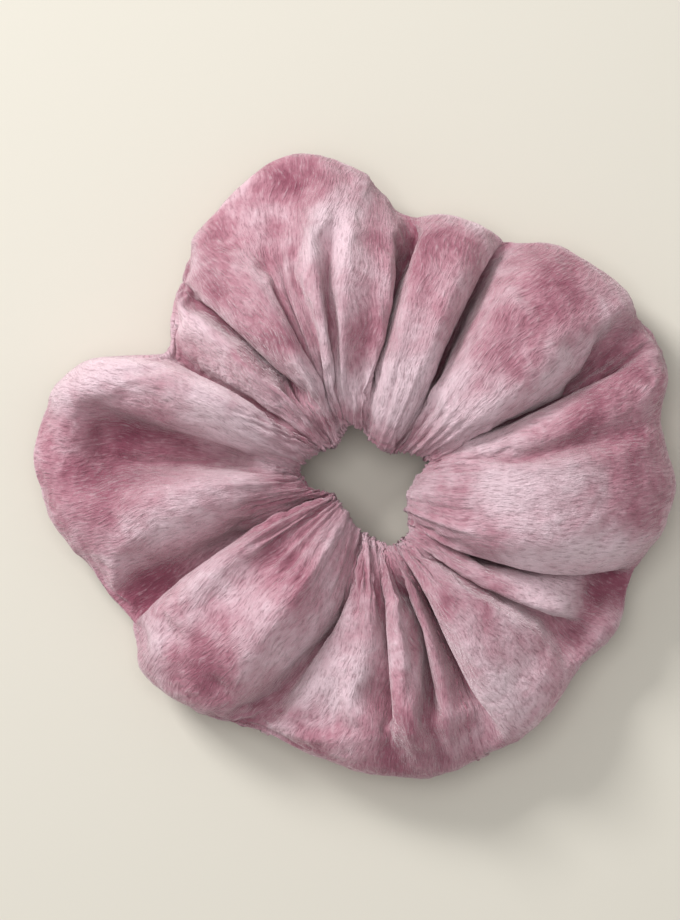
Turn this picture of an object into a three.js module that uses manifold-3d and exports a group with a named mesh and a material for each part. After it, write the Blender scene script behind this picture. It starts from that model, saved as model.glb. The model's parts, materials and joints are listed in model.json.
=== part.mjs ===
// A plush scrunchie, in millimetres, +Z up, lying flat on z = 0.
// It is a tube of velour gathered on a flat elastic ring. The tube's two ends meet at the closing seam,
// and the ring is divided at its gathers, so that it can open as the real one does when it is stretched.
import * as THREE from "three";
import { ParametricGeometry } from "three/addons/geometries/ParametricGeometry.js";
import { mergeVertices } from "three/addons/utils/BufferGeometryUtils.js";
import Module from "manifold-3d";

// Driving dimensions.
// The middle of each gather, in degrees anticlockwise from +X. They fall at random, so their spacing isn't
// even. The first is at the closing seam, where the tube's ends meet, and it is in two halves.
const GATHER_ANGLES = [-60, -8, 17, 41, 70, 95, 118, 138, 152, 182, 224, 275, 300];
const HOLE_RADIUS = 13; // the opening that the hair goes through
const RIDGE_HEIGHT = 36; // the top of a gather
const VALLEY_HEIGHT = 29; // the top of the crease between two gathers
const BASE_SINK = 3; // how much of the round underside is pressed flat by the surface it lies on
const SECTION_POWER = 2.5; // 2 makes an ellipse, and more makes it squarer
// How far the cover reaches from the ring's centre, every 18 degrees, anticlockwise from the closing seam.
const OUTER_RADII = [
  70, 68, 67, 72, 71, 79, 74, 66, 69, 79, 71, 57, 71, 78, 69, 61, 66, 63, 65, 70,
];
const GAP = 0.3; // between two neighbouring solids

const ELASTIC = { radius: 19.5, thickness: 1.2, width: 6 }; // flat braided elastic, at rest
const OVERLAP_LENGTH = 13; // the elastic's ends lap this far and are stitched through
const THREAD_RADIUS = 0.3;
const LONG_SEAM_RADIUS = 25; // of the ring that the tube's lengthwise stitching makes
const CASING = { inner: 17.5, outer: 27, height: 8 }; // the channel that the elastic runs in
const CLOSING_GAP = 1.4; // the groove of the closing seam
const WEDGE = { inner: 5, outer: 120, height: 120 }; // larger than the ring on every side
const BARTACK = { turns: 6, length: 9, width: 4.4, thread: 0.25 };
const CLOSING = { points: 30, share: 0.98, depth: 0.08, above: 0.6 };
// How finely each shape is divided: the cover round the ring and round its section, and the rest.
const SEGMENTS = { cover: 144, section: 20, ring: 72, bartack: 72, closing: 64, thread: 4 };

const TURN = 2 * Math.PI;
const RIDGES = GATHER_ANGLES.map(THREE.MathUtils.degToRad);
const SEAM = RIDGES[0];
const MIDDLE_HEIGHT = (RIDGE_HEIGHT - BASE_SINK) / 2; // of the elastic above the surface

// Materials.
const finish = (color, roughness, metalness = 0) =>
  new THREE.MeshStandardMaterial({ color, roughness, metalness });
const VELOUR = finish(0xc08a9a, 0.95);
const ELASTIC_WHITE = finish(0xe9e4dc, 0.8);
const THREAD = finish(0xb57f90, 0.7);

// Solids.
const wasm = await Module();
wasm.setup();

function solid(geometry) {
  const bare = new THREE.BufferGeometry();
  bare.setAttribute("position", geometry.getAttribute("position"));
  bare.setIndex(geometry.getIndex());
  const merged = mergeVertices(bare, 1e-3);
  const vertProperties = merged.getAttribute("position").array;
  const triVerts = new Uint32Array(merged.getIndex().array);
  return new wasm.Manifold(new wasm.Mesh({ numProp: 3, vertProperties, triVerts }));
}

function named(name, manifold, material) {
  const { vertProperties, triVerts } = manifold.getMesh();
  const geometry = new THREE.BufferGeometry();
  geometry.setAttribute("position", new THREE.BufferAttribute(vertProperties, 3));
  geometry.setIndex(new THREE.BufferAttribute(triVerts, 1));
  geometry.computeVertexNormals();
  const mesh = new THREE.Mesh(geometry, material);
  mesh.name = name;
  return mesh;
}

// A smooth closed curve through the outer radii.
const outerCurve = new THREE.CatmullRomCurve3(
  OUTER_RADII.map((radius) => new THREE.Vector3(radius, 0, 0)),
  true,
  "catmullrom",
);
const outerRadius = (share) => outerCurve.getPoint(THREE.MathUtils.euclideanModulo(share, 1)).x;

// The cover's skin: share runs round the ring, and turn runs round the tube.
function coverPoint(share, turn, target) {
  const angle = SEAM + share * TURN;
  const next = Math.max(1, RIDGES.findIndex((ridge) => ridge >= angle - 1e-9));
  const between = (angle - RIDGES[next - 1]) / (RIDGES[next] - RIDGES[next - 1]);
  const ridge = (Math.cos(between * TURN) + 1) / 2;
  const height = THREE.MathUtils.lerp(VALLEY_HEIGHT, RIDGE_HEIGHT, ridge) + BASE_SINK;
  const outer = outerRadius(share);
  const squared = (x) => Math.sign(x) * Math.abs(x) ** (2 / SECTION_POWER);
  const across = (1 - squared(Math.cos(turn * TURN))) / 2;
  const up = (1 - squared(Math.sin(turn * TURN))) / 2;
  const radius = THREE.MathUtils.lerp(HOLE_RADIUS, outer, across);
  target.set(radius * Math.cos(angle), radius * Math.sin(angle), height * up - BASE_SINK);
}

// A ring of rectangular section, from radius a to radius b.
function ring(a, b, height) {
  const half = height / 2;
  const profile = [[a, -half], [b, -half], [b, half], [a, half], [a, -half]];
  const points = profile.map(([r, z]) => new THREE.Vector2(r, z));
  const geometry = new THREE.LatheGeometry(points, SEGMENTS.ring);
  return solid(geometry.rotateX(Math.PI / 2).translate(0, 0, MIDDLE_HEIGHT));
}

// A prism over the part of the ring between two angles, each side drawn in by its own clearance.
function wedge(from, to, clearFrom = GAP / 2, clearTo = GAP / 2) {
  const edge = (angle, clear) =>
    [WEDGE.inner, WEDGE.outer].map((r) =>
      new THREE.Vector2(r, clear).rotateAround(new THREE.Vector2(), angle));
  const [startIn, startOut] = edge(from, clearFrom);
  const [endIn, endOut] = edge(to, -clearTo);
  const tip = startOut.clone().add(endOut).setLength(WEDGE.outer * 1.2);
  const outline = new THREE.Shape([startIn, startOut, tip, endOut, endIn]);
  const geometry = new THREE.ExtrudeGeometry(outline, { depth: WEDGE.height, bevelEnabled: false });
  return solid(geometry.translate(0, 0, -WEDGE.height / 2));
}

// A thread along a list of points, with closed ends.
function thread(points, radius, steps) {
  const section = new THREE.Shape().absarc(0, 0, radius, 0, 2 * Math.PI);
  const extrudePath = new THREE.CatmullRomCurve3(points);
  const curveSegments = SEGMENTS.thread;
  return solid(new THREE.ExtrudeGeometry(section, { steps, curveSegments, extrudePath }));
}

const UP = new THREE.Vector3(0, 0, 1);

// The whole rings, before they are divided.
const floor = solid(new THREE.BoxGeometry(400, 400, 40).translate(0, 0, -20));
const cover = solid(new ParametricGeometry(coverPoint, SEGMENTS.cover, SEGMENTS.section))
  .subtract(floor)
  .subtract(ring(CASING.inner, CASING.outer, CASING.height));
const elastic = ring(ELASTIC.radius, ELASTIC.radius + ELASTIC.thickness, ELASTIC.width);
const longSeam = ring(
  LONG_SEAM_RADIUS - THREAD_RADIUS,
  LONG_SEAM_RADIUS + THREAD_RADIUS,
  2 * THREAD_RADIUS,
);

const scrunchie = new THREE.Group();

// Each gather's span of the three rings, from crease to crease. The first and the last are halves that
// meet at the closing seam.
RIDGES.forEach((ridge, k) => {
  const label = String(k + 1).padStart(2, "0");
  const first = k === 0;
  const last = k === RIDGES.length - 1;
  const from = first ? ridge : (RIDGES[k - 1] + ridge) / 2;
  const to = last ? ridge : (ridge + RIDGES[k + 1]) / 2;
  const clearFrom = (first ? CLOSING_GAP : GAP) / 2;
  const clearTo = (last ? CLOSING_GAP : GAP) / 2;
  const coverSpan = cover.intersect(wedge(from, to, clearFrom, clearTo));
  const span = wedge(from, to);
  scrunchie.add(named(`cover_gather_${label}`, coverSpan, VELOUR));
  scrunchie.add(named(`elastic_span_${label}`, elastic.intersect(span), ELASTIC_WHITE));
  scrunchie.add(named(`long_seam_thread_${label}`, longSeam.intersect(span), THREAD));
});

// The elastic's lapped end, outside the ring that it is stitched to.
const lapInner = ELASTIC.radius + ELASTIC.thickness + GAP;
const lapOuter = lapInner + ELASTIC.thickness;
const lapAngle = OVERLAP_LENGTH / lapInner / 2;
const lap = ring(lapInner, lapOuter, ELASTIC.width).intersect(wedge(SEAM - lapAngle, SEAM + lapAngle));
scrunchie.add(named("elastic_lapped_end", lap, ELASTIC_WHITE));

// The zigzag stitching through the lap.
const tackRadius = lapOuter + GAP + BARTACK.thread;
const tackPoints = Array.from({ length: 2 * BARTACK.turns + 1 }, (_, i) => {
  const along = (i / (2 * BARTACK.turns) - 0.5) * BARTACK.length;
  const side = i % 2 ? 0.5 : -0.5;
  const point = new THREE.Vector3(tackRadius, 0, MIDDLE_HEIGHT + side * BARTACK.width);
  return point.applyAxisAngle(UP, SEAM + along / tackRadius);
});
scrunchie.add(named("elastic_bartack", thread(tackPoints, BARTACK.thread, SEGMENTS.bartack), THREAD));

// The closing stitches run round the tube in the groove between its two ends, just under its skin, and
// stop a little short of where they started.
const seamMiddle = new THREE.Vector3((HOLE_RADIUS + OUTER_RADII[0]) / 2, 0, MIDDLE_HEIGHT);
seamMiddle.applyAxisAngle(UP, SEAM);
const closingPoints = Array.from({ length: CLOSING.points }, (_, i) => {
  const point = new THREE.Vector3();
  coverPoint(0, (i / CLOSING.points) * CLOSING.share, point);
  point.lerp(seamMiddle, CLOSING.depth);
  return point.setZ(Math.max(point.z, CLOSING.above));
});
scrunchie.add(named("closing_seam_thread", thread(closingPoints, THREAD_RADIUS, SEGMENTS.closing), THREAD));

// The origin is the middle of the bounding box, on the surface that the scrunchie lies on.
const box = new THREE.Box3().setFromObject(scrunchie);
const middle = box.getCenter(new THREE.Vector3());
scrunchie.position.set(-middle.x, -middle.y, -box.min.z);

export default scrunchie;
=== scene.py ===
import json
import math

import bpy
import numpy as np
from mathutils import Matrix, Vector

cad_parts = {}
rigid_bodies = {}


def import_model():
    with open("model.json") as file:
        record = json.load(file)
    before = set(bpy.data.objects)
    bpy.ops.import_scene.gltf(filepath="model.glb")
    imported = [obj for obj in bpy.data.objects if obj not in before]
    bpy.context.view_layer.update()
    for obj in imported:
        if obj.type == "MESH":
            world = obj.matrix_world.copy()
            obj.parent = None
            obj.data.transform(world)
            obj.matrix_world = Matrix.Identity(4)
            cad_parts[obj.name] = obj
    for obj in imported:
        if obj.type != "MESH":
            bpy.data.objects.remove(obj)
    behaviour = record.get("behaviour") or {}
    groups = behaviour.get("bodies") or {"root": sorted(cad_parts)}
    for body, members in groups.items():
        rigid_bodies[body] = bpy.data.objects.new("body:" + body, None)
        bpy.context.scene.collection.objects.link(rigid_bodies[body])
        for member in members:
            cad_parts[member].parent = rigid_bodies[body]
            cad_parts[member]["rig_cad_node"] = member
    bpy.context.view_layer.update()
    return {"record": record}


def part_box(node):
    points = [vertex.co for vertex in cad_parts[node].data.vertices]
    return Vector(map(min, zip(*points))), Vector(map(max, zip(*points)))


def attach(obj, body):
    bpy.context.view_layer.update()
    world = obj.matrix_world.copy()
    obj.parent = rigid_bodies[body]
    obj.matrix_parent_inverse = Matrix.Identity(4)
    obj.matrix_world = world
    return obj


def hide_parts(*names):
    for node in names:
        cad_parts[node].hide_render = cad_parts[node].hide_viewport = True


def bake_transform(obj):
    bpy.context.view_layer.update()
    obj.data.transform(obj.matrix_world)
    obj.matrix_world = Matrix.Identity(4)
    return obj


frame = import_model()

MM = 0.001

# The ring's middle is the middle of the opening that the hair goes through.
OPENING = np.array(frame["record"]["physics"]["openings"][0]["box_m"])
CENTRE = OPENING.mean(axis=0)[:2] / MM

# The middle of each gather, in degrees anticlockwise from +X, as the frame's bodies are set out. The tube's
# two ends meet at the first, which is also the last.
GATHERS = [-60, -8, 17, 41, 70, 95, 118, 138, 152, 182, 224, 275, 300]
GATHER_LAST = f"gather_{len(GATHERS):02d}"

# The folds of the cover, anticlockwise from the closing seam. Each line runs outwards over the top of the
# tube: its angle in degrees at three distances from the ring's middle, its height there in mm, and how far
# it reaches. Where a line's angle is less than the last one's, the fabric doubles back under a fold.
STATIONS = (15, 38, 65)
FOLDS = [
    ((-57, -62, -65.5), (14, 7, 22), 70.5),
    ((-56.5, -59, -59), (12, 6, 18), 70),
    ((-58, -61.3, -60.3), (23, 22, 17), 70.2),
    ((-55, -57, -55.5), (28, 30, 22), 70.3),
    ((-53, -50, -48), (28, 28.5, 18), 69.5),
    ((-52, -42, -40), (27, 27.5, 18), 68),
    ((-51.5, -38.5, -34.5), (18, 15, 14), 68),
    ((-46, -35.5, -31), (25, 26.5, 21), 69),
    ((-41, -31, -26), (22, 20, 17), 69.5),
    ((-36, -27, -21.5), (13, 8, 8), 66.5),
    ((-33, -22, -16), (12, 8, 8), 67),
    ((-36.5, -29, -18), (23, 23, 17), 68.5),
    ((-31, -22, -13), (30, 32, 23), 71),
    ((-15, -11, -6), (32, 34, 26), 73),
    ((-2, 1, 1), (32, 35, 27), 74.5),
    ((12, 8, 8), (30, 34, 27), 72.5),
    ((15.5, 12, 12.5), (27, 30, 21), 71.2),
    ((18, 16.5, 16.5), (28, 31.5, 24), 75.5),
    ((20, 21.5, 22), (25, 26, 23), 78.5),
    ((21, 25, 25.5), (14, 10, 15), 78),
    ((22, 27, 28), (14, 11, 20), 78),
    ((23, 29.5, 32), (13, 10, 14), 77),
    ((16.5, 23.8, 29.3), (23, 23, 18), 76.8),
    ((22, 29, 33.5), (29, 32, 24), 77),
    ((30, 38.5, 40.5), (29, 33.5, 25), 76),
    ((37, 47, 47.5), (28, 33, 25), 74),
    ((43, 52.5, 53), (24, 27.5, 22), 72),
    ((47.5, 56, 57.3), (14, 10, 13), 67),
    ((50, 60, 60.5), (12, 9, 13), 66),
    ((48, 58.3, 59.3), (23, 23, 18), 66.5),
    ((54, 63, 63.5), (29, 32, 25), 67),
    ((63, 70, 70), (29, 31, 25), 66.2),
    ((74, 77, 76), (28, 31, 24), 65),
    ((83, 82, 80.5), (15, 11, 15), 64.5),
    ((86.5, 85.3, 85), (26, 28, 23), 69.5),
    ((90, 89.5, 88.5), (24.5, 24, 22), 73),
    ((99, 97.5, 91.5), (27, 31, 26), 75.5),
    ((103, 101, 94), (23, 23, 21), 77),
    ((107, 105, 99.5), (27, 31, 27), 78.8),
    ((109, 107.5, 102.5), (24, 23.5, 23), 78.9),
    ((110.5, 110.5, 108), (22, 20.5, 22), 77),
    ((112, 112.5, 115), (22.5, 22, 22), 73),
    ((114.5, 114.5, 122.8), (27, 32, 26), 69.5),
    ((119, 121.5, 126), (22, 25, 22), 67),
    ((122, 126.5, 129), (19, 20, 19), 65),
    ((124.5, 129, 131.5), (13, 11, 13), 62.5),
    ((129, 132, 135.5), (25, 29, 19), 60.5),
    ((134, 137.5, 140), (25, 24.5, 15), 57.5),
    ((138, 143, 146), (24, 15, 8), 55),
    ((139, 147, 148.5), (22, 10, 7), 55),
    ((138.5, 145, 147.5), (27, 25, 19), 58),
    ((148, 150.5, 152), (31, 34, 28), 68.5),
    ((156, 156, 158), (29, 31, 27), 73),
    ((162, 161.5, 163), (25, 22, 26), 75.5),
    ((165, 164.5, 167), (17, 7, 23), 76.3),
    ((168, 170, 172), (16, 5, 20), 76.3),
    ((171, 174, 178), (20, 11, 17), 75.8),
    ((175, 179, 185), (27, 29, 19), 73.5),
    ((183, 186, 192), (27, 28, 18), 69.5),
    ((190, 193.5, 199), (25, 22, 16), 65.8),
    ((195, 199, 205), (20, 15, 13), 64),
    ((199, 204, 210.5), (13, 8, 9), 61.5),
    ((202, 208, 214), (11, 6, 8), 62),
    ((200.5, 206, 212.8), (23, 22, 17), 64.5),
    ((205.5, 211, 218), (29, 31, 23), 67),
    ((214, 219, 223.5), (26, 27, 22), 67),
    ((226, 227, 228), (27, 29, 23), 66.3),
    ((240, 237, 234), (31, 33, 24), 65.3),
    ((253, 245.5, 238), (27, 27, 20), 64.8),
    ((268, 252, 240.5), (22, 19, 15), 64),
    ((270.5, 255, 244), (15, 9, 17), 63),
    ((272.5, 261, 251), (23, 22, 16), 62),
    ((275, 268.5, 261), (26, 24.5, 17), 64.3),
    ((279, 274, 267.5), (27, 26, 19), 66),
    ((283, 278, 273), (23, 22, 24), 67.8),
    ((287, 281.3, 277.5), (15, 5, 31), 69),
    ((290, 284.5, 282), (27, 29, 22), 70),
    ((294, 290, 286), (20, 9, 30), 70.3),
    ((298, 294.5, 290), (25, 25, 22), 70.5),
]
# How far the hole's edge is from the ring's middle, in mm, every 20 degrees from +X.
HOLE_EDGE = (11.3, 17.2, 12.3, 8.8, 11.5, 15, 9.8, 12, 14.8, 12.6, 6, 6.1, 6.5, 10, 11.5, 16.5, 15.5, 11)
# Soft dents and rises on top: angle, distance, half widths along both, and height in mm.
BUMPS = (
    (-27.5, 61, 5.5, 5, -9),
    (-27, 68, 9, 3.5, 5),
    (282, 57, 12, 6, 3),
    (169, 51, 9, 11, -9),
    (166, 69, 15, 6, 6),
    (205, 52, 6, 8, -5),
)

# Spots where the top is coloured pale or deep. They are partly the velour's crushed nap, partly painted sheen
# where pale and painted shade where deep, as in the hollow near 171 degrees. Each has its angle, distance and
# radius in mm, and its tone, which is above 0 where it's pale.
NAP_AND_PAINTED_LIGHT = (
    (162, 70, 9, 0.9),
    (171, 54, 12, -1.3),
    (188, 47, 7, 0.9),
    (153, 60, 8, 0.8),
    (163, 32, 9, 0.8),
    (148, 40, 7, 0.8),
    (139, 55, 6, 0.7),
    (130, 38, 7, -1),
    (127, 57, 7, -0.8),
    (113, 62, 9, 0.4),
    (118, 41, 8, -0.3),
    (101, 75, 9, -0.9),
    (98, 58, 7, 0.9),
    (102, 24, 7, 0.8),
    (87, 57, 6, -0.9),
    (90, 37, 6, -0.8),
    (74, 22, 7, 0.8),
    (70, 56, 8, -1),
    (68, 66, 4, 0.6),
    (60, 27, 7, 0.8),
    (47, 66, 10, -1),
    (46, 48, 9, -0.5),
    (32, 51, 8, 0.5),
    (32, 26, 8, 0.7),
    (23, 64, 7, -0.6),
    (18, 56, 8, -0.9),
    (-5, 37, 13, 1),
    (4, 68, 10, -1),
    (-15, 60, 8, 0.8),
    (-28, 31, 6, -0.9),
    (-31, 46, 7, 0.9),
    (-24, 65, 7, -0.7),
    (-39, 42, 6, -0.7),
    (-52, 60, 8, 0.9),
    (-52, 33, 5, -0.9),
    (-74, 25, 7, -0.8),
    (261, 45, 9, 0.9),
    (-79, 61, 10, -1),
    (261, 61, 7, -0.6),
    (247, 63, 7, 0.6),
    (230, 58, 10, -0.8),
    (225, 38, 7, 0.4),
    (240, 28, 6, -0.6),
    (216, 61, 5, 0.7),
    (202, 22, 8, -0.6),
    (197, 61, 7, 0.4),
)

SIDE_HEIGHT = (16, 12)  # of the widest part of the section, at the hole and at the rim
ROUNDNESS = 2.05  # of the section; 2 is an ellipse
SHOULDER = 56  # past this distance from the ring's middle, only the section's roundness brings the top down
UNDER_LIFT = 6  # how far the deepest folds leave the floor underneath
# The channel that the elastic runs in, in mm. The fabric can't sink through the elastic.
CASING = {"radius": 20.5, "reach": 8.5, "top": 20.8, "bottom": 12.2}
ACROSS = 1080  # divisions round the ring
AROUND = 168  # divisions round the tube

# The widths of the blurs along the fabric, in mm.
ROUNDING = {"crisp": 1.0, "hole": 2.6, "rim": 6, "settled": 0.6, "edge": 3.5, "seam": 3}
CLOTH = {
    "scale": 10,  # the cloth is settled ten times as large as it is, which the solver handles better
    "skip": (3, 2),  # and on a coarser grid than the surface's
    "frames": 14,
    "extra": 0.09,
    "pressure": 0.35,
    "bending": 1.6,
    "apart": 0.004,
    "held": 0.5,
    "held_anywhere": 0.03,
}

STRIP = 0.144  # width of the strip of fabric that the tube is sewn from, in metres
# The small gathers: about how many there are round the ring, and how high they are for their width, under
# the ring and on top of it near the elastic. They bring the cover's area to about 0.76 of the cut's.
GATHERING = {"count": 80, "below": 0.4, "above": 0.25}
# How the tube's ends overlap at the closing seam, in mm.
LAP = {"width": 5, "deepest": 1.3, "under": 0.3, "over": 0.2, "ramp": 4}


def periodic_blur(values, axis, sigma):
    """A Gaussian blur along a closed direction, with sigma in samples."""
    shape = [1] * values.ndim
    shape[axis] = values.shape[axis]
    frequency = np.fft.fftfreq(values.shape[axis]).reshape(shape)
    keep = np.exp(-2 * (math.pi * sigma * frequency) ** 2)
    return np.real(np.fft.ifft(np.fft.fft(values, axis=axis) * keep, axis=axis))


def smooth(t):
    t = np.clip(t, 0, 1)
    return t * t * (3 - 2 * t)


def mix(a, b, t):
    return a + (b - a) * t


def through_stations(values, r):
    """The parabola through a fold's three values, at distance r."""
    a, b, c = STATIONS
    at_a = (r - b) * (r - c) / ((a - b) * (a - c))
    at_b = (r - a) * (r - c) / ((b - a) * (b - c))
    at_c = (r - a) * (r - b) / ((c - a) * (c - b))
    return values[:, 0:1] * at_a + values[:, 1:2] * at_b + values[:, 2:3] * at_c


def at_least(values, floor, softness=2):
    """The larger of the two, with a soft change from one to the other."""
    return floor + softness * np.logaddexp(0, (values - floor) / softness)


def casing_height(r):
    return CASING["top"] * np.exp(-(((r - CASING["radius"]) / CASING["reach"]) ** 2) / 2)


def fold_lines():
    """Each fold's closed line round the tube, as points in mm from the ring's middle."""
    angles = np.array([f[0] for f in FOLDS], float)
    heights = np.array([f[1] for f in FOLDS], float)
    reach = np.array([f[2] for f in FOLDS], float)[:, None]
    edge = np.array(HOLE_EDGE + HOLE_EDGE[:1], float)
    hole = np.interp(angles[:, 0] % 360, np.linspace(0, 360, len(edge)), edge)[:, None]

    turn = np.arange(AROUND) / AROUND * 2 * math.pi
    c, s = np.cos(turn), np.sin(turn)
    out = (1 - np.sign(c) * np.abs(c) ** (2 / ROUNDNESS)) / 2
    up = np.abs(s) ** (2 / ROUNDNESS)
    r = mix(hole, reach, out)
    side = mix(*SIDE_HEIGHT, out)

    top_angle = through_stations(angles, r)
    top = through_stations(heights, np.minimum(r, SHOULDER))
    for at, distance, wide, deep, rise in BUMPS:
        off = (top_angle - at + 180) % 360 - 180
        top = top + rise * np.exp(-((off / wide) ** 2) - ((r - distance) / deep) ** 2)
    lift = np.clip((24 - heights[:, 1:2]) / 16, 0, 1) * UNDER_LIFT
    top = at_least(np.maximum(top, lift + 4), casing_height(r), 1)

    even = np.arange(len(FOLDS))[:, None] * 360 / len(FOLDS)
    under_angle = periodic_blur(angles[:, 1:2] - even, 0, 3) + even
    above = s > 0
    z = np.where(above, mix(side, top, up), mix(side, lift, up))
    bottom_angle = mix(top_angle, under_angle, smooth(up * 1.1))
    angle = np.radians(np.where(above, top_angle, bottom_angle))
    return np.stack([r * np.cos(angle), r * np.sin(angle), z], axis=2)


def through_lines(lines, count):
    """A closed smooth surface through the lines, and how far round the fabric each sample is, in mm."""
    ahead = np.roll(lines, -1, axis=0)
    step = np.linalg.norm(ahead - lines, axis=2).mean(axis=1)
    knots = np.concatenate([[0], np.cumsum(step)])
    places = np.arange(count) / count * knots[-1]
    slope = (ahead - np.roll(lines, 1, axis=0)) / (np.roll(step, 1) + step)[:, None, None]
    k = np.clip(np.searchsorted(knots, places, side="right") - 1, 0, len(lines) - 1)
    n = (k + 1) % len(lines)
    h = step[k][:, None, None]
    t = ((places - knots[k]) / step[k])[:, None, None]
    surface = (
        (1 + 2 * t) * (1 - t) ** 2 * lines[k]
        + t * (1 - t) ** 2 * h * slope[k]
        + t * t * (3 - 2 * t) * lines[n]
        + t * t * (t - 1) * h * slope[n]
    )
    return surface, knots[-1]


def strip_faces(columns, rows, closed=True):
    """The quads of a grid of columns, each closed on itself, facing out."""
    i = np.arange(columns if closed else columns - 1)[:, None]
    j = np.arange(rows)[None, :]
    n, m = (i + 1) % columns, (j + 1) % rows
    return np.stack([i * rows + j, i * rows + m, n * rows + m, n * rows + j], axis=2).reshape(-1, 4)


def closed_normals(points):
    along = np.roll(points, -1, axis=0) - np.roll(points, 1, axis=0)
    around = np.roll(points, -1, axis=1) - np.roll(points, 1, axis=1)
    normal = np.cross(around, along)
    return normal / np.maximum(np.linalg.norm(normal, axis=2, keepdims=True), 1e-9)


def closed_noise(rng, shape, cells, octaves=2):
    """Smooth noise from about -1 to 1 on a closed grid, with so many cells each way."""
    total = np.zeros(shape)
    for octave in range(octaves):
        raw = rng.standard_normal(shape)
        for axis in (0, 1):
            raw = periodic_blur(raw, axis, shape[axis] / (cells[axis] * 2**octave) / 2.5)
        total += raw / raw.std() / 2.0 ** (octave + 1)
    return total


def uneven(surface, rng):
    """Soft unevenness, as thick fabric has even where it is smooth."""
    shape = surface.shape[:2]
    r = np.linalg.norm(surface[:, :, :2], axis=2)
    soft = closed_noise(rng, shape, (46, 5)) * 0.55 * smooth((r - 14) / 20)
    fine = closed_noise(rng, shape, (150, 24)) * 0.1 + closed_noise(rng, shape, (320, 90), 1) * 0.1
    return surface + closed_normals(surface) * (soft + fine)[:, :, None]


def gathered(surface, rng):
    """The small gathers that take up the strip's spare length, underneath and near the elastic."""
    length = np.linalg.norm(np.roll(surface, -1, axis=0) - surface, axis=2).sum(axis=0)
    r = np.linalg.norm(surface[:, :, :2], axis=2)
    below = smooth((np.arange(AROUND) / AROUND - 0.53) / 0.09) * GATHERING["below"]
    above = (1 - smooth((r - 18) / 16)) * GATHERING["above"]
    wave = closed_noise(rng, surface.shape[:2], (GATHERING["count"] * 3.5, 4), 1)
    height = wave * np.maximum(below, above) * length / GATHERING["count"]
    return surface + closed_normals(surface) * height[:, :, None]


def laid_flat(surface):
    """Nothing goes below the floor, and what would is pressed flat on it."""
    result = surface.copy()
    result[:, :, 2] = at_least(surface[:, :, 2], 0.4, 0.5)
    return result


def rounded(surface):
    """Thick fabric can't fold sharply: the folds are softest at the hole and round the rim."""
    pitch = fabric_length / ACROSS
    crisp = periodic_blur(surface, 0, ROUNDING["crisp"] / pitch)
    inner = periodic_blur(surface, 0, ROUNDING["hole"] / pitch)
    outer = periodic_blur(surface, 0, ROUNDING["rim"] / pitch)
    r = np.linalg.norm(crisp[:, :, :2], axis=2)[:, :, None]
    return mix(mix(crisp, inner, smooth((30 - r) / 15)), outer, 0.6 * smooth((r - 52) / 18))


def settled(surface):
    """The cover after it has settled as cloth. There is a little more of it than fits, so it wrinkles; it is
    pushed out from inside, because the crumpled fabric is springy; and the elastic holds it at the hole."""
    start = surface[:: CLOTH["skip"][0], :: CLOTH["skip"][1]]
    columns, rows = start.shape[:2]
    mesh = bpy.data.meshes.new("settling")
    points = (start * MM * CLOTH["scale"]).reshape(-1, 3)
    mesh.from_pydata(points.tolist(), [], strip_faces(columns, rows).tolist())
    obj = bpy.data.objects.new("settling", mesh)
    bpy.context.collection.objects.link(obj)
    r = np.linalg.norm(start[:, :, :2], axis=2).reshape(-1)
    weights = {
        "held": np.maximum(CLOTH["held"] * smooth((30 - r) / 8), CLOTH["held_anywhere"]),
        "loose": smooth((r - 20) / 20),
    }
    for name, values in weights.items():
        group = obj.vertex_groups.new(name=name)
        for index, weight in enumerate(values.tolist()):
            group.add([index], weight, "REPLACE")

    cloth = obj.modifiers.new("cloth", "CLOTH")
    settings = cloth.settings
    settings.quality = 6
    settings.mass = 0.3
    settings.tension_stiffness = settings.compression_stiffness = 15
    settings.shear_stiffness = 5
    settings.bending_stiffness = CLOTH["bending"]
    settings.tension_damping = settings.compression_damping = settings.shear_damping = 5
    settings.bending_damping = 0.5
    settings.air_damping = 4
    settings.vertex_group_mass = "held"
    settings.pin_stiffness = 1
    settings.vertex_group_shrink = "loose"
    settings.shrink_min = 0
    settings.shrink_max = -CLOTH["extra"]
    settings.use_pressure = True
    settings.uniform_pressure_force = CLOTH["pressure"]
    settings.effector_weights.gravity = 0
    cloth.collision_settings.use_collision = False
    cloth.collision_settings.use_self_collision = True
    cloth.collision_settings.self_distance_min = CLOTH["apart"]
    cloth.collision_settings.collision_quality = 2
    cloth.point_cache.frame_start = 1
    cloth.point_cache.frame_end = CLOTH["frames"] + 1
    for number in range(1, CLOTH["frames"] + 1):
        bpy.context.scene.frame_set(number)
    evaluated = obj.evaluated_get(bpy.context.evaluated_depsgraph_get()).data
    ended = np.empty(columns * rows * 3)
    evaluated.vertices.foreach_get("co", ended)
    bpy.context.scene.frame_set(1)
    bpy.data.objects.remove(obj)
    bpy.data.meshes.remove(mesh)
    moved = ended.reshape(columns, rows, 3) / (MM * CLOTH["scale"]) - start
    return surface + finer(finer(moved, 0, surface.shape[0]), 1, surface.shape[1])


def over_the_elastic(surface):
    """The top of the cover stays above what it holds, and the bottom below it."""
    r = np.linalg.norm(surface[:, :, :2], axis=2)
    z = surface[:, :, 2]
    above = np.arange(AROUND)[None, :] < AROUND / 2
    under = -at_least(-z, -CASING["bottom"] - 12 * smooth(np.abs(r - CASING["radius"]) / 4 - 1), 0.5)
    cleared = np.where(above, at_least(z, casing_height(r), 0.5), under)
    return np.concatenate([surface[:, :, :2], cleared[:, :, None]], axis=2)


def outline(r, angle, smoothing=3):
    """How far the points reach from the middle, for each degree round the ring."""
    far = np.zeros(360)
    np.maximum.at(far, (angle.ravel() % 360).astype(int) % 360, r.ravel())
    return periodic_blur(far, 0, smoothing)


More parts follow.
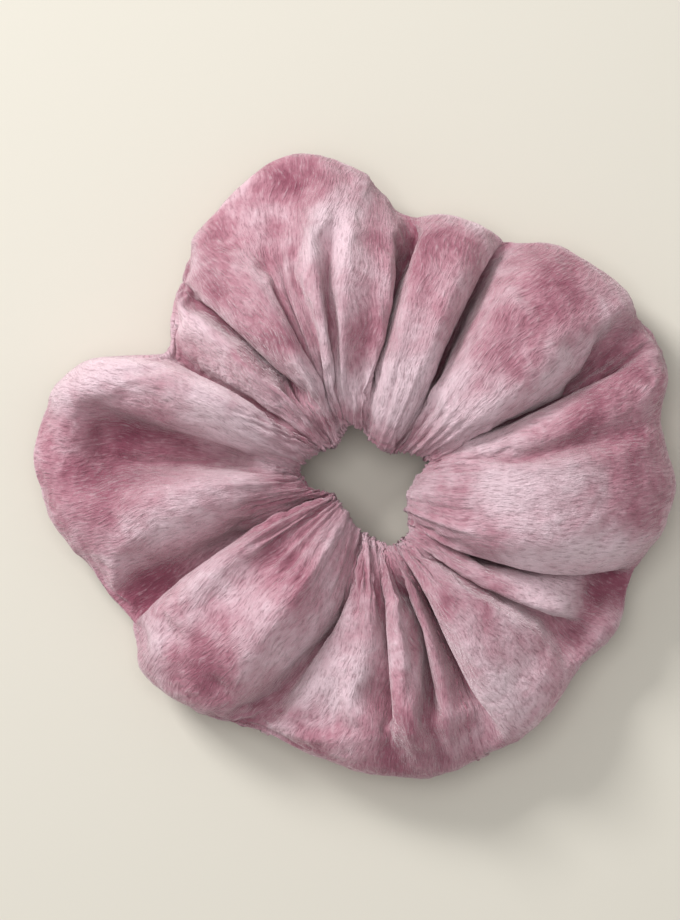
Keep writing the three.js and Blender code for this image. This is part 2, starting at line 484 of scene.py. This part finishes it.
def calm_at_seam(surface):
    """The closing seam is double, and too stiff for small wrinkles."""
    pitch = fabric_length / ACROSS
    away = np.minimum(np.arange(ACROSS), ACROSS - np.arange(ACROSS))[:, None, None] * pitch
    return mix(surface, periodic_blur(surface, 0, ROUNDING["seam"] / pitch), np.exp(-((away / 9) ** 2)))


def round_rim(surface):
    """The tube's outer edge is round, not creased."""
    r = np.linalg.norm(surface[:, :, :2], axis=2)[:, :, None]
    rounder = periodic_blur(surface, 1, ROUNDING["edge"] * AROUND / (STRIP / MM))
    return mix(surface, rounder, smooth((r - 57) / 9))


def out_to_reach(surface):
    """Settling pulls the rim in. This puts it back where the folds should reach."""
    r = np.linalg.norm(surface[:, :, :2], axis=2)
    angle = np.degrees(np.arctan2(surface[:, :, 1], surface[:, :, 0]))
    folds = sorted((f[0][2] % 360, f[2]) for f in FOLDS)
    wanted = np.interp(np.arange(360), *np.array(folds).T, period=360)
    short = periodic_blur(wanted, 0, 3) - outline(r, angle)
    move = np.interp(angle.ravel(), np.arange(360) + 0.5, short, period=360).reshape(r.shape)
    further = 1 + move * smooth((r - 32) / 28) / r
    return np.concatenate([surface[:, :, :2] * further[:, :, None], surface[:, :, 2:]], axis=2)


def finer(values, axis, count):
    """The same closed values with more samples along one direction."""
    waves = np.fft.rfft(values, axis=axis)
    return np.fft.irfft(waves, n=count, axis=axis) * count / values.shape[axis]


rng = np.random.default_rng(11)
surface, fabric_length = through_lines(fold_lines(), ACROSS)
surface = laid_flat(rounded(surface))
surface = periodic_blur(settled(surface), 0, ROUNDING["settled"] * ACROSS / fabric_length)
surface = gathered(out_to_reach(round_rim(surface)), np.random.default_rng(23))
surface = over_the_elastic(surface)
surface = laid_flat(calm_at_seam(uneven(surface, rng)))
surface[:, :, :2] += CENTRE


# Materials.
def colour(r, g, b):
    """A linear colour from one as it is seen on a screen, from 0 to 255."""
    return tuple(((c / 255 + 0.055) / 1.055) ** 2.4 for c in (r, g, b)) + (1,)


class Shader:
    """A material's node tree, with short ways to add to it."""

    def __init__(self, name):
        self.material = bpy.data.materials.new(name)
        self.material.use_nodes = True
        self.tree = self.material.node_tree
        self.bsdf = self.tree.nodes["Principled BSDF"]

    def add(self, kind, values=(), **settings):
        node = self.tree.nodes.new(kind)
        for key, value in settings.items():
            setattr(node, key, value)
        for key, value in dict(values).items():
            self.put(node.inputs[key], value)
        return node

    def put(self, socket, value):
        if isinstance(value, bpy.types.NodeSocket):
            self.tree.links.new(value, socket)
        else:
            socket.default_value = value

    def attribute(self, name):
        return self.add("ShaderNodeAttribute", attribute_name=name)

    def maths(self, operation, *values, clamp=False):
        pairs = enumerate(values)
        return self.add("ShaderNodeMath", pairs, operation=operation, use_clamp=clamp).outputs[0]

    def vector(self, operation, *values):
        return self.add("ShaderNodeVectorMath", enumerate(values), operation=operation).outputs[0]

    def noise(self, vector, scale, detail=2, roughness=0.5, distortion=0):
        values = {
            "Vector": vector,
            "Scale": scale,
            "Detail": detail,
            "Roughness": roughness,
            "Distortion": distortion,
        }
        return self.add("ShaderNodeTexNoise", values).outputs["Fac"]

    def ramp(self, value, low, high):
        """From 0 at low to 1 at high."""
        values = {"Value": value, "From Min": low, "From Max": high}
        return self.add("ShaderNodeMapRange", values, interpolation_type="SMOOTHSTEP").outputs[0]

    def blend(self, factor, a, b, kind="MIX"):
        node = self.add("ShaderNodeMix", data_type="RGBA", blend_type=kind)
        self.put(node.inputs["Factor"], factor)
        self.put(node.inputs[6], a)
        self.put(node.inputs[7], b)
        return node.outputs[2]


def plush_material():
    """Crushed velour: pile that lies along the tube's section. Its colour holds painted light: painted sheen
    in pale spots and on ridges, painted shade in deep spots, in valleys and between the pile's strokes, and
    painted highlights on the strokes' tips, besides random patches of tone.
    """
    s = Shader("plush_velour")
    place = s.add("ShaderNodeTexCoord").outputs["Object"]
    pile = s.add("ShaderNodeUVMap", uv_map="pile").outputs["UV"]
    # Painted light from the folds' shape: paler on ridges and darker, as painted shade, in valleys.
    crest = s.attribute("crest").outputs["Fac"]
    spread = s.attribute("spread").outputs["Fac"]

    # Nap tone: partly the velour's crushed pattern, partly painted sheen where pale and painted shade where
    # deep.
    nap = s.attribute("nap").outputs["Fac"]

    patches = s.noise(place, 60, detail=3, roughness=0.6, distortion=0.8)
    ruffled = s.noise(place, 240, detail=2, roughness=0.6)
    sway = s.noise(place, 70, detail=1)
    sideways = s.maths("MULTIPLY", s.maths("SUBTRACT", sway, 0.5), 4)
    lying = s.vector("ADD", pile, s.add("ShaderNodeCombineXYZ", {"X": sideways}).outputs[0])

    strokes = []
    for width, length in ((2.2, 0.34), (1.1, 0.32)):
        stretched = s.vector("MULTIPLY", lying, (width, length, 1))
        strokes.append(s.noise(stretched, 1, detail=3, roughness=0.7))
    gathered = s.ramp(spread, 0.75, 0.35)
    stroke = s.add("ShaderNodeMix", {0: gathered, 2: strokes[0], 3: strokes[1]}).outputs[0]

    def centred(value, amount):
        return s.maths("MULTIPLY", s.maths("SUBTRACT", value, 0.5), amount)

    # light adds the nap spots and the ridges, both partly painted light, to random patches of tone.
    light = s.maths("ADD", s.maths("MULTIPLY", nap, 0.55), s.maths("MULTIPLY", crest, 0.25))
    light = s.maths("ADD", light, centred(patches, 1.6))
    light = s.maths("ADD", light, centred(ruffled, 0.7))
    # Low light turns the base to a darker mauve, which is painted shade in hollows and valleys as well as
    # deeper nap. High light turns it to pale pink, which is painted sheen as well as lighter nap.
    deep = s.ramp(light, 0.05, -0.8)
    pale = s.ramp(light, -0.25, 0.85)
    base = s.blend(deep, colour(180, 127, 141), colour(140, 78, 96))
    base = s.blend(pale, base, colour(227, 199, 208))
    # Painted shade in the gaps between the pile's strokes, and painted highlights on their tips.
    painted_gap_shade = s.maths("MULTIPLY", s.ramp(stroke, 0.52, 0.3), 0.5)
    painted_tip_highlight = s.maths("MULTIPLY", s.ramp(stroke, 0.5, 0.75), 0.3)
    base = s.blend(painted_gap_shade, base, colour(118, 72, 84))
    base = s.blend(painted_tip_highlight, base, colour(236, 214, 220))
    s.put(s.bsdf.inputs["Base Color"], base)

    height = s.maths("ADD", stroke, s.maths("MULTIPLY", ruffled, 0.8))
    bump = s.add("ShaderNodeBump", {"Height": height, "Strength": 1, "Distance": 0.0008})
    s.put(s.bsdf.inputs["Normal"], bump.outputs[0])
    s.bsdf.inputs["Roughness"].default_value = 0.95
    s.bsdf.inputs["Specular IOR Level"].default_value = 0.15
    s.bsdf.inputs["Sheen Weight"].default_value = 0.75
    s.bsdf.inputs["Sheen Roughness"].default_value = 0.4
    s.bsdf.inputs["Sheen Tint"].default_value = (1, 0.86, 0.89, 1)
    return s.material


def thread_material(name, tone, scale):
    """Twisted or braided yarn: fine slanting strands."""
    s = Shader(name)
    place = s.add("ShaderNodeTexCoord").outputs["Object"]
    strand = s.noise(place, scale, detail=2, roughness=0.6)
    dark = tuple(0.6 * c for c in tone[:3]) + (1,)
    s.put(s.bsdf.inputs["Base Color"], s.blend(s.ramp(strand, 0.35, 0.65), dark, tone))
    bump = s.add("ShaderNodeBump", {"Height": strand, "Strength": 0.5, "Distance": 0.0002})
    s.put(s.bsdf.inputs["Normal"], bump.outputs[0])
    s.bsdf.inputs["Roughness"].default_value = 0.75
    s.bsdf.inputs["Sheen Weight"].default_value = 0.3
    return s.material


PLUSH = plush_material()
ELASTIC = thread_material("elastic", colour(232, 226, 214), 1400)
THREAD = thread_material("thread", colour(170, 116, 130), 2500)


# Pieces.
def new_piece(name, points, faces, material, normals=None):
    """A mesh from points in mm. The normals are for each point, so that neighbouring pieces shade alike."""
    mesh = bpy.data.meshes.new(name)
    mesh.from_pydata((points * MM).tolist(), [], faces.tolist())
    mesh.update()
    mesh.shade_smooth()
    if normals is not None:
        mesh.normals_split_custom_set_from_vertices(normals.tolist())
    mesh.materials.append(material)
    obj = bpy.data.objects.new(name, mesh)
    bpy.context.collection.objects.link(obj)
    return obj


def set_values(mesh, name, values):
    mesh.attributes.new(name, "FLOAT", "POINT").data.foreach_set("value", values.astype(np.float32))


def span_of_faces(points, faces, share):
    """Which stretch from gather to gather each face is in. share is how far round the fabric it is."""
    middle = points[faces].mean(axis=1)[:, :2] - CENTRE
    angle = (np.degrees(np.arctan2(middle[:, 1], middle[:, 0])) - GATHERS[0]) % 360 + GATHERS[0]
    span = np.searchsorted(GATHERS, angle, side="right") - 1
    last = len(GATHERS) - 2
    span = np.where((share < 0.25) & (span > last // 2), 0, span)
    return np.where((share > 0.75) & (span < last // 2), last, span)


def stretch_piece(obj):
    """Moves the piece's transform into its mesh."""
    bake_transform(obj)


def replaced(kind, index):
    """The CAD nodes that a span stands for. The last one also stands for the half at the seam."""
    numbers = [index + 1] + ([index + 2] if index == len(GATHERS) - 2 else [])
    return [f"{kind}_{n:02d}" for n in numbers]


def make_spans(kind, node, points, faces, share, material, normals, values=None):
    """Cuts a closed strip into a piece for each stretch, and hides the CAD nodes that each one stands for."""
    span = span_of_faces(points, faces, share)
    distance = np.linalg.norm(points[:, :2] - CENTRE, axis=1)
    nearest = np.full(len(GATHERS), 1e9)
    for k in range(1, len(GATHERS) - 1):
        shared = np.intersect1d(faces[span == k - 1], faces[span == k])
        nearest[k] = distance[shared].min()
    nearest[0] = nearest[-1] = distance[faces[share < 0.02]].min()
    made = []
    for index in range(len(GATHERS) - 1):
        used, local = np.unique(faces[span == index], return_inverse=True)
        name = f"{kind}_{index + 1:02d}"
        obj = new_piece(name, points[used], local.reshape(-1, 4), material, normals[used])
        for key, value in (values or {}).items():
            if key == "pile":
                layer = obj.data.uv_layers.new(name=key)
                corner = np.empty(len(obj.data.loops), int)
                obj.data.loops.foreach_get("vertex_index", corner)
                layer.data.foreach_set("uv", value[used][corner].astype(np.float32).ravel())
            else:
                set_values(obj.data, key, value[used])
        stretch_piece(obj)
        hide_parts(*replaced(node, index))
        made.append(obj)
    return made


def cover_strip():
    """The tube of fabric as a strip of columns: the end that is tucked under, the ring, and the end that
    laps over it with its edge turned in. Also how far each column is along the fabric, in mm."""
    pitch = fabric_length / ACROSS
    normal = closed_normals(surface)
    tuck = int(LAP["width"] / pitch)
    ramp = int(LAP["ramp"] / pitch)
    columns = np.arange(-tuck, ACROSS + 1)
    depth = np.zeros(len(columns))
    depth[:tuck] = -np.linspace(LAP["deepest"], LAP["under"], tuck)
    depth[tuck : tuck + ramp] = -LAP["under"] * (1 - smooth(np.arange(ramp) / ramp))
    depth[-ramp:] = LAP["over"] * smooth(np.arange(ramp) / (ramp - 1))
    outwards = closed_normals(periodic_blur(surface, 0, ROUNDING["seam"] / pitch))
    strip = surface[columns % ACROSS] + outwards[columns % ACROSS] * depth[:, None, None]
    ahead = surface[1] - surface[0]
    lip = [strip[-1] - outwards[0] * d + ahead * s for d, s in ((0.12, 0.3), (0.42, 0.2))]
    strip = np.concatenate([strip, np.array(lip)])
    ahead = ahead / np.linalg.norm(ahead, axis=1, keepdims=True)
    turned = [outwards[0] * (1 - k) + ahead * k for k in (0.5, 0.9)]
    turned = [t / np.linalg.norm(t, axis=1, keepdims=True) for t in turned]
    facing = np.concatenate([normal[columns % ACROSS], np.array(turned)])
    along = np.concatenate([columns, [ACROSS + 0.4, ACROSS + 0.8]]) * pitch
    return strip, facing, along


def brushed_and_painted_light(points, rng, shape):
    """The tone at each point, from 1 where it's pale to -1 where it's deep. On top it comes from the listed
    spots, which are partly the crushed nap and partly painted sheen where pale and painted shade where deep.
    Underneath it is random tone.
    """
    x, y = (points[:, :2] - CENTRE).T
    x = x + 3.5 * closed_noise(rng, shape, (30, 6)).reshape(-1)
    y = y + 3.5 * closed_noise(rng, shape, (30, 6)).reshape(-1)
    tone = np.zeros(len(points))
    for angle, distance, radius, amount in NAP_AND_PAINTED_LIGHT:
        at_x, at_y = distance * math.cos(math.radians(angle)), distance * math.sin(math.radians(angle))
        tone += amount * np.exp(-((x - at_x) ** 2 + (y - at_y) ** 2) / radius**2)
    below = closed_noise(rng, shape, (28, 6)).reshape(-1)
    return np.clip(mix(below, tone * 1.2, smooth((points[:, 2] - 8) / 6)), -1, 1)


def make_cover():
    strip, facing, along = cover_strip()
    columns = len(strip)
    points, normals = strip.reshape(-1, 3), facing.reshape(-1, 3)
    faces = strip_faces(columns, AROUND, closed=False)
    share = np.repeat(along[:-1] / fabric_length, AROUND)

    step = np.linalg.norm(np.roll(surface, -1, axis=1) - surface, axis=2)
    length = step.mean(axis=0)
    turn = np.concatenate([[0], np.cumsum(length)[:-1]])
    pile = np.stack(np.meshgrid(along, turn, indexing="ij"), axis=2).reshape(-1, 2)

    at = np.round(along / fabric_length * ACROSS).astype(int) % ACROSS
    wide = np.linalg.norm(np.roll(surface, -1, axis=0) - np.roll(surface, 1, axis=0), axis=2)[at]
    wide /= 2 * fabric_length / ACROSS
    # Painted light for the colour: how far each point stands proud of the surface blurred over 5 mm. It is
    # positive on ridges, which are painted paler, and negative in valleys, which get painted shade.
    blurred = surface
    for axis, sigma in ((0, 5 * ACROSS / fabric_length), (1, 5 / length.mean())):
        blurred = periodic_blur(blurred, axis, sigma)
    proud = ((surface - blurred) * closed_normals(surface)).sum(axis=2)
    crest = np.clip(proud / 2.2, -1, 1)[at]
    nap = brushed_and_painted_light(points, np.random.default_rng(5), strip.shape[:2])
    values = {"pile": pile, "spread": wide.reshape(-1), "crest": crest.reshape(-1), "nap": nap}
    pieces = make_spans(
        "cover", "cover_gather", points, faces, share, PLUSH, normals, values
    )
    return pieces


def ring_strip(section, radius, height, columns, twist):
    """A closed band: the section's points swept round the ring, moved out by twist at each place."""
    angle = np.radians(GATHERS[0]) + np.arange(columns) / columns * 2 * math.pi
    flat = radius + section[None, :, 0] + twist
    up = np.broadcast_to(height + section[None, :, 1], flat.shape)
    x = CENTRE[0] + flat * np.cos(angle)[:, None]
    y = CENTRE[1] + flat * np.sin(angle)[:, None]
    points = np.stack([x, y, up], axis=2)
    return points.reshape(-1, 3), closed_normals(points).reshape(-1, 3)


def make_ring(kind, node, section, radius, height, columns, twist, material):
    points, normals = ring_strip(section, radius, height, columns, twist)
    faces = strip_faces(columns, len(section))
    share = np.repeat((np.arange(columns) + 0.5) / columns, len(section))
    return make_spans(kind, node, points, faces, share, material, normals)


def rounded_section(width, height, count=24, power=5):
    """A rounded rectangle round the origin, in mm."""
    t = np.arange(count) / count * 2 * math.pi
    c, s = np.cos(t), np.sin(t)
    x = np.sign(c) * np.abs(c) ** (2 / power) * width / 2
    y = np.sign(s) * np.abs(s) ** (2 / power) * height / 2
    return np.stack([x, y], axis=1)


def make_inner_rings():
    """The braided elastic and the tube's lengthwise stitching, as the frame has them."""
    low, high = (np.array(c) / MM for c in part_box("elastic_span_06"))
    height = (low[2] + high[2]) / 2
    band = rounded_section(1.2, 6)
    columns = 720
    braid = 0.12 * np.sin(np.arange(columns)[:, None] * 1.2 + np.abs(band[None, :, 1]) * 2.5)
    make_ring("elastic", "elastic_span", band, 20.1, height, columns, braid, ELASTIC)
    yarn = rounded_section(0.6, 0.6, count=10, power=2)
    ply = 0.1 * np.sin(np.arange(columns)[:, None] * 0.9 + np.arange(10)[None, :] * 0.63 * 2)
    make_ring("long_seam", "long_seam_thread", yarn, 25, height, columns, ply, THREAD)


def make_closing_stitches():
    """Short stitches round the tube, just in from the edge of the end that laps over."""
    strip, facing, along = cover_strip()
    column = int(np.argmin(np.abs(along - (fabric_length - 2))))
    path, normal = strip[column], facing[column]
    step = np.linalg.norm(np.roll(path, -1, axis=0) - path, axis=1)
    walked = np.concatenate([[0], np.cumsum(step)])
    pitch, radius, sides, rows = 3.0, 0.28, 8, 7
    closed_path = np.vstack([path, path[:1]])
    closed_normal = np.vstack([normal, normal[:1]])

    def sample(table, at):
        return np.stack([np.interp(at % walked[-1], walked, table[:, k]) for k in range(3)], axis=-1)

    points, faces = [], []
    for n in range(int(walked[-1] / pitch)):
        t = np.linspace(0, 1, rows)
        at = n * pitch + t * pitch * 0.75
        sunk = 0.02 - 0.35 * (2 * t - 1) ** 4
        centre = sample(closed_path, at) + sample(closed_normal, at) * sunk[:, None]
        out = sample(closed_normal, at)
        ahead = np.gradient(centre, axis=0)
        ahead /= np.linalg.norm(ahead, axis=1, keepdims=True)
        side = np.cross(ahead, out)
        side /= np.linalg.norm(side, axis=1, keepdims=True)
        up = np.cross(side, ahead)
        thick = radius * (1 - (2 * t - 1) ** 6 * 0.8)
        turn = np.arange(sides) / sides * 2 * math.pi
        ring = (
            centre[:, None]
            + side[:, None] * (np.cos(turn)[None, :, None] * thick[:, None, None])
            + up[:, None] * (np.sin(turn)[None, :, None] * thick[:, None, None])
        )
        first = sum(len(p) for p in points)
        points.append(ring.reshape(-1, 3))
        quads = strip_faces(rows, sides, closed=False)[:, ::-1] + first
        faces.append(quads)
    obj = new_piece("closing_stitches", np.vstack(points), np.vstack(faces), THREAD)
    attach(obj, GATHER_LAST)
    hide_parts("closing_seam_thread")
    return obj


def dress_cad_node(name, material):
    """A CAD piece that is right as it is, in its own material."""
    obj = next(o for o in bpy.data.objects if o.get("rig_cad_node") == name)
    obj.data.materials.clear()
    obj.data.materials.append(material)


make_cover()
make_inner_rings()
make_closing_stitches()
dress_cad_node("elastic_lapped_end", ELASTIC)
dress_cad_node("elastic_bartack", THREAD)


# The floor, the light and the camera.
bpy.ops.mesh.primitive_plane_add(size=4)
floor = bpy.context.object
floor.name = "floor"
paper = bpy.data.materials.new("paper")
paper.use_nodes = True
paper.node_tree.nodes["Principled BSDF"].inputs["Base Color"].default_value = colour(214, 209, 197)
paper.node_tree.nodes["Principled BSDF"].inputs["Roughness"].default_value = 1
floor.data.materials.append(paper)

scene = bpy.context.scene
scene.view_settings.view_transform = "Standard"
world = bpy.data.worlds.new("studio")
scene.world = world
world.use_nodes = True
world.node_tree.nodes["Background"].inputs["Color"].default_value = (1, 1, 1, 1)
world.node_tree.nodes["Background"].inputs["Strength"].default_value = 0.4


def area_light(name, place, size, energy):
    data = bpy.data.lights.new(name, "AREA")
    data.energy = energy
    data.size = size
    obj = bpy.data.objects.new(name, data)
    obj.location = place
    obj.rotation_euler = (-Vector(place)).to_track_quat("-Z", "Y").to_euler()
    bpy.context.collection.objects.link(obj)


area_light("overhead", (-0.1, 0.1, 0.95), 0.6, 3.4)
area_light("key", (-0.6, 0.62, 0.6), 0.3, 9.0)

VIEW_WIDTH = 0.1581  # how much of the object's plane the picture is wide
CAMERA_HEIGHT = 0.75
camera_data = bpy.data.cameras.new("camera")
camera = bpy.data.objects.new("camera", camera_data)
bpy.context.collection.objects.link(camera)
scene.camera = camera
camera_data.sensor_fit = "HORIZONTAL"
camera_data.sensor_width = 36
camera_data.lens = camera_data.sensor_width * (CAMERA_HEIGHT - 0.018) / VIEW_WIDTH
camera.location = (-0.0017, 0.0015, CAMERA_HEIGHT)
